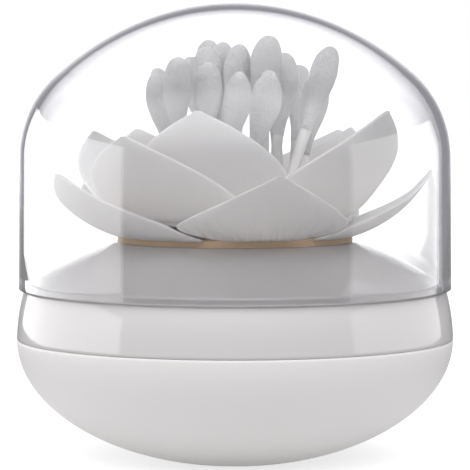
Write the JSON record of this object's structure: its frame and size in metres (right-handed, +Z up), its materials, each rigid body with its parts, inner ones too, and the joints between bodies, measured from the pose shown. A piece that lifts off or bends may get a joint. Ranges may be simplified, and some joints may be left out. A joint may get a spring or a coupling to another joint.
{
  "type": "cotton swab holder",
  "caption": "Round-bottomed cotton swab holder: a lotus flower of moulded petals round a swab cup, under a clear lift-off dome.",
  "frame": {"origin": "centre of the foot's flat underside, on the holder's axis", "axes": "+Z up along the holder's axis; -Y is the front, where the foremost petal leans a little to the right; +X is to the right seen from the front"},
  "size_m": [0.104, 0.104, 0.109],
  "materials": {
    "satin_white_shell": "fine satin moulded plastic, warm white",
    "gloss_white_shell": "polished moulded plastic, white",
    "petal_white": "matt moulded plastic, slightly see-through white",
    "white_cup": "satin moulded plastic, white",
    "clear_dome": "clear polished plastic",
    "steel_weight": "turned steel",
    "paper_stick": "rolled paper, white",
    "cotton": "wound cotton fibre, white"
  },
  "bodies": {
    "holder": {"base_bowl": "satin_white_shell", "base_shoulder": "gloss_white_shell", "base_weight": "steel_weight", "petal_ring_inner": "petal_white", "petal_ring_middle": "petal_white", "petal_ring_outer": "petal_white", "swab_cotton_01": "cotton", "swab_cotton_02": "cotton", "swab_cotton_03": "cotton", "swab_cotton_04": "cotton", "swab_cotton_05": "cotton", "swab_cotton_06": "cotton", "swab_cotton_07": "cotton", "swab_cotton_08": "cotton", "swab_cotton_09": "cotton", "swab_cotton_10": "cotton", "swab_cotton_11": "cotton", "swab_cotton_12": "cotton", "swab_cotton_13": "cotton", "swab_cotton_14": "cotton", "swab_cotton_15": "cotton", "swab_cotton_16": "cotton", "swab_cotton_17": "cotton", "swab_cotton_18": "cotton", "swab_cotton_19": "cotton", "swab_cup": "white_cup", "swab_stick_01": "paper_stick", "swab_stick_02": "paper_stick", "swab_stick_03": "paper_stick", "swab_stick_04": "paper_stick", "swab_stick_05": "paper_stick", "swab_stick_06": "paper_stick", "swab_stick_07": "paper_stick", "swab_stick_08": "paper_stick", "swab_stick_09": "paper_stick", "swab_stick_10": "paper_stick", "swab_stick_11": "paper_stick", "swab_stick_12": "paper_stick", "swab_stick_13": "paper_stick", "swab_stick_14": "paper_stick", "swab_stick_15": "paper_stick", "swab_stick_16": "paper_stick", "swab_stick_17": "paper_stick", "swab_stick_18": "paper_stick", "swab_stick_19": "paper_stick"},
    "dome": {"dome_cover": "clear_dome"}
  },
  "joints": [
    {"name": "dome_lift", "type": "slide", "parent": "holder", "child": "dome", "axis": [0, 0, 1], "range_m": [0, 0.07]}
  ]
}
